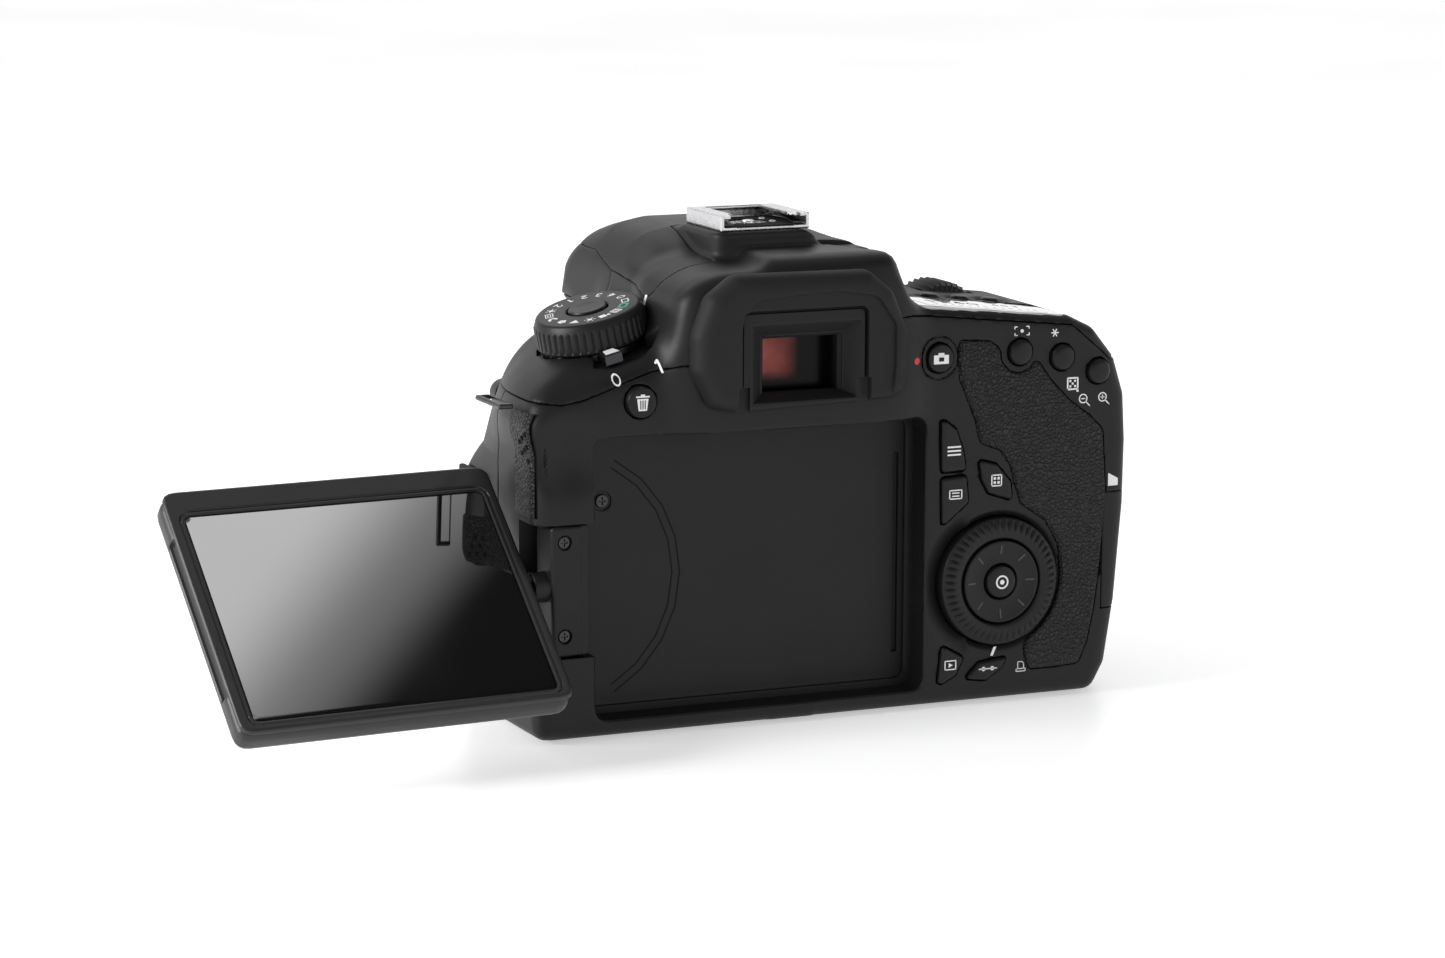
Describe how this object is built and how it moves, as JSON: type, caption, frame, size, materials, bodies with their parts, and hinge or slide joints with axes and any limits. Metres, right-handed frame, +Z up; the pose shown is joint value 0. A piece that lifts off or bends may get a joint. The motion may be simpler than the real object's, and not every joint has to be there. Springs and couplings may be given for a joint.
{
  "type": "digital single-lens reflex camera body",
  "caption": "Black interchangeable-lens camera body with an optical viewfinder, turning dials, working keys and a side-hinged monitor that swivels out and tilts.",
  "frame": {"origin": "on the flat base, under the lens axis and in the sensor plane", "axes": "+X to the viewer's right, +Y towards the lens, +Z up"},
  "size_m": [0.2156, 0.0973, 0.1054],
  "materials": {
    "shell": "fine moulded grain, satin black",
    "soft_rubber": "leather-grained black rubber",
    "key_plastic": "satin black",
    "bright_steel": "satin bright metal",
    "black_metal": "satin black paint",
    "screen_glass": "glossy black screen cover",
    "optical_glass": "coated optical glass",
    "mirror_silver": "front-silvered",
    "circuit_board": "green circuit board",
    "pale_panel": "pale display under a clear window"
  },
  "bodies": {
    "camera_body": {"rear_cover": "shell", "front_cover": "shell", "top_cover": "shell", "bottom_cover": "shell", "lens_mount_ring": "bright_steel", "mirror_box": "black_metal", "sensor_unit": "circuit_board", "focusing_screen": "optical_glass", "pentamirror": "pale_panel", "eyepiece_lens": "optical_glass", "main_board": "circuit_board", "battery": "key_plastic", "sd_card": "key_plastic", "tripod_socket": "bright_steel", "hot_shoe": "bright_steel", "top_display_window": "pale_panel", "grip_rubber": "soft_rubber", "thumb_rubber": "soft_rubber", "side_rubber": "soft_rubber", "strap_lug_left": "bright_steel", "strap_lug_right": "bright_steel", "eyecup": "soft_rubber"},
    "hinge_bracket": {"hinge_bracket": "black_metal"},
    "monitor": {"monitor_back": "shell", "monitor_bezel": "shell", "monitor_glass": "screen_glass", "monitor_display": "circuit_board"},
    "mode_dial": {"mode_dial": "key_plastic"},
    "dial_lock_button": {"dial_lock_button": "bright_steel"},
    "power_switch": {"power_switch": "black_metal"},
    "main_dial": {"main_dial": "key_plastic"},
    "quick_control_dial": {"quick_control_dial": "key_plastic"},
    "multi_controller": {"multi_controller": "key_plastic"},
    "set_button": {"set_button": "key_plastic"},
    "menu_button": {"menu_button": "key_plastic"},
    "info_button": {"info_button": "key_plastic"},
    "quick_button": {"quick_button": "key_plastic"},
    "playback_button": {"playback_button": "key_plastic"},
    "unlock_button": {"unlock_button": "key_plastic"},
    "live_view_button": {"live_view_button": "key_plastic"},
    "af_on_button": {"af_on_button": "key_plastic"},
    "ae_lock_button": {"ae_lock_button": "key_plastic"},
    "af_point_button": {"af_point_button": "key_plastic"},
    "erase_button": {"erase_button": "key_plastic"},
    "af_mode_button": {"af_mode_button": "key_plastic"},
    "drive_button": {"drive_button": "key_plastic"},
    "iso_button": {"iso_button": "key_plastic"},
    "metering_button": {"metering_button": "key_plastic"},
    "shutter_button": {"shutter_button": "key_plastic"},
    "lens_release_button": {"lens_release_button": "key_plastic"},
    "flash_button": {"flash_button": "key_plastic"},
    "flash_head": {"flash_head": "shell"},
    "card_door": {"card_door": "shell"},
    "battery_door": {"battery_door": "shell"},
    "battery_latch": {"battery_latch": "key_plastic"},
    "port_cover_rear": {"port_cover_rear": "soft_rubber"},
    "port_cover_front": {"port_cover_front": "soft_rubber"},
    "diopter_knob": {"diopter_knob": "key_plastic"},
    "mirror": {"mirror": "mirror_silver"},
    "sub_mirror": {"sub_mirror": "mirror_silver"}
  },
  "joints": [
    {"name": "monitor_swivel", "type": "hinge", "parent": "camera_body", "child": "hinge_bracket", "pos_m": [-0.0507, -0.02225, 0.0325], "axis": [0, 0, 1], "range_deg": [0, 86]},
    {"name": "monitor_tilt", "type": "hinge", "parent": "hinge_bracket", "child": "monitor", "pos_m": [-0.0507, -0.02225, 0.0325], "axis": [-0.9976, -0.0698, 0], "range_deg": [-137, 133]},
    {"name": "mode_dial_turn", "type": "hinge", "parent": "camera_body", "child": "mode_dial", "pos_m": [-0.03786, -0.00716, 0.08111], "axis": [-0.24, -0.085, 0.967], "continuous": true},
    {"name": "dial_lock_press", "type": "slide", "parent": "mode_dial", "child": "dial_lock_button", "axis": [0.24, 0.085, -0.967], "range_m": [0, 0.0008], "stiffness_N_per_m": 200},
    {"name": "power_switch_turn", "type": "hinge", "parent": "camera_body", "child": "power_switch", "pos_m": [-0.03736, -0.00698, 0.07908], "axis": [-0.24, -0.085, 0.967], "range_deg": [0, 32]},
    {"name": "main_dial_turn", "type": "hinge", "parent": "camera_body", "child": "main_dial", "pos_m": [0.052, 0.015, 0.0772], "axis": [0, 1, 0], "continuous": true},
    {"name": "quick_control_dial_turn", "type": "hinge", "parent": "camera_body", "child": "quick_control_dial", "pos_m": [0.0479, -0.026, 0.0264], "axis": [0, 1, 0], "continuous": true},
    {"name": "multi_controller_rock", "type": "hinge", "parent": "camera_body", "child": "multi_controller", "pos_m": [0.0479, -0.025, 0.0264], "axis": [1, 0, 0], "range_deg": [-2, 2], "stiffness_Nm_per_rad": 0.05},
    {"name": "set_press", "type": "slide", "parent": "camera_body", "child": "set_button", "axis": [0, 1, 0], "range_m": [0, 0.0008], "stiffness_N_per_m": 200},
    {"name": "menu_press", "type": "slide", "parent": "camera_body", "child": "menu_button", "axis": [0, 1, 0], "range_m": [0, 0.0008], "stiffness_N_per_m": 200},
    {"name": "info_press", "type": "slide", "parent": "camera_body", "child": "info_button", "axis": [0, 1, 0], "range_m": [0, 0.0008], "stiffness_N_per_m": 200},
    {"name": "quick_press", "type": "slide", "parent": "camera_body", "child": "quick_button", "axis": [0, 1, 0], "range_m": [0, 0.0008], "stiffness_N_per_m": 200},
    {"name": "playback_press", "type": "slide", "parent": "camera_body", "child": "playback_button", "axis": [0, 1, 0], "range_m": [0, 0.0008], "stiffness_N_per_m": 200},
    {"name": "unlock_press", "type": "slide", "parent": "camera_body", "child": "unlock_button", "axis": [0, 1, 0], "range_m": [0, 0.0008], "stiffness_N_per_m": 200},
    {"name": "live_view_press", "type": "slide", "parent": "camera_body", "child": "live_view_button", "axis": [0, 1, 0], "range_m": [0, 0.0008], "stiffness_N_per_m": 200},
    {"name": "af_on_press", "type": "slide", "parent": "camera_body", "child": "af_on_button", "axis": [0, 1, 0], "range_m": [0, 0.0008], "stiffness_N_per_m": 200},
    {"name": "ae_lock_press", "type": "slide", "parent": "camera_body", "child": "ae_lock_button", "axis": [0, 1, 0], "range_m": [0, 0.0008], "stiffness_N_per_m": 200},
    {"name": "af_point_press", "type": "slide", "parent": "camera_body", "child": "af_point_button", "axis": [0, 1, 0], "range_m": [0, 0.0008], "stiffness_N_per_m": 200},
    {"name": "erase_press", "type": "slide", "parent": "camera_body", "child": "erase_button", "axis": [0, 1, 0], "range_m": [0, 0.0008], "stiffness_N_per_m": 200},
    {"name": "af_mode_press", "type": "slide", "parent": "camera_body", "child": "af_mode_button", "axis": [-0.1135, 0, -0.9935], "range_m": [0, 0.0008], "stiffness_N_per_m": 200},
    {"name": "drive_press", "type": "slide", "parent": "camera_body", "child": "drive_button", "axis": [-0.1135, 0, -0.9935], "range_m": [0, 0.0008], "stiffness_N_per_m": 200},
    {"name": "iso_press", "type": "slide", "parent": "camera_body", "child": "iso_button", "axis": [-0.1135, 0, -0.9935], "range_m": [0, 0.0008], "stiffness_N_per_m": 200},
    {"name": "metering_press", "type": "slide", "parent": "camera_body", "child": "metering_button", "axis": [-0.1135, 0, -0.9935], "range_m": [0, 0.0008], "stiffness_N_per_m": 200},
    {"name": "shutter_press", "type": "slide", "parent": "camera_body", "child": "shutter_button", "axis": [0, -0.3, -0.9539], "range_m": [0, 0.001], "stiffness_N_per_m": 200},
    {"name": "lens_release_press", "type": "slide", "parent": "camera_body", "child": "lens_release_button", "axis": [0, -1, 0], "range_m": [0, 0.0015], "stiffness_N_per_m": 200},
    {"name": "flash_press", "type": "slide", "parent": "camera_body", "child": "flash_button", "axis": [0, -1, 0], "range_m": [0, 0.0008], "stiffness_N_per_m": 200},
    {"name": "flash_lift", "type": "hinge", "parent": "camera_body", "child": "flash_head", "pos_m": [0, -0.0085, 0.094], "axis": [1, 0, 0], "range_deg": [0, 65]},
    {"name": "card_door_swing", "type": "hinge", "parent": "camera_body", "child": "card_door", "pos_m": [0.081, -0.0061, 0.031], "axis": [0, 0, 1], "range_deg": [0, 90]},
    {"name": "battery_door_swing", "type": "hinge", "parent": "camera_body", "child": "battery_door", "pos_m": [0.0736, 0.01, 0.0013], "axis": [0, -1, 0], "range_deg": [0, 95]},
    {"name": "battery_latch_slide", "type": "slide", "parent": "battery_door", "child": "battery_latch", "axis": [1, 0, 0], "range_m": [0, 0.002], "stiffness_N_per_m": 50},
    {"name": "port_cover_rear_swing", "type": "hinge", "parent": "camera_body", "child": "port_cover_rear", "pos_m": [-0.0586, 0.01, 0.031], "axis": [0, 0, -1], "range_deg": [0, 85]},
    {"name": "port_cover_front_swing", "type": "hinge", "parent": "camera_body", "child": "port_cover_front", "pos_m": [-0.0586, 0.0174, 0.031], "axis": [0, 0, -1], "range_deg": [0, 85]},
    {"name": "diopter_turn", "type": "hinge", "parent": "camera_body", "child": "diopter_knob", "pos_m": [0.0216, -0.019, 0.0916], "axis": [0.769, 0, 0.6392], "range_deg": [-150, 150]},
    {"name": "mirror_swing", "type": "hinge", "parent": "camera_body", "child": "mirror", "pos_m": [0, 0.0055, 0.061], "axis": [1, 0, 0], "range_deg": [0, 45], "stiffness_Nm_per_rad": 0.002, "springref_deg": -17.19},
    {"name": "sub_mirror_fold", "type": "hinge", "parent": "mirror", "child": "sub_mirror", "pos_m": [0, 0.01278, 0.05131], "axis": [1, 0, 0], "range_deg": [0, 90]}
  ],
  "couplings": [
    {"joint": "sub_mirror_fold", "follows": "mirror_swing", "ratio": 2}
  ]
}
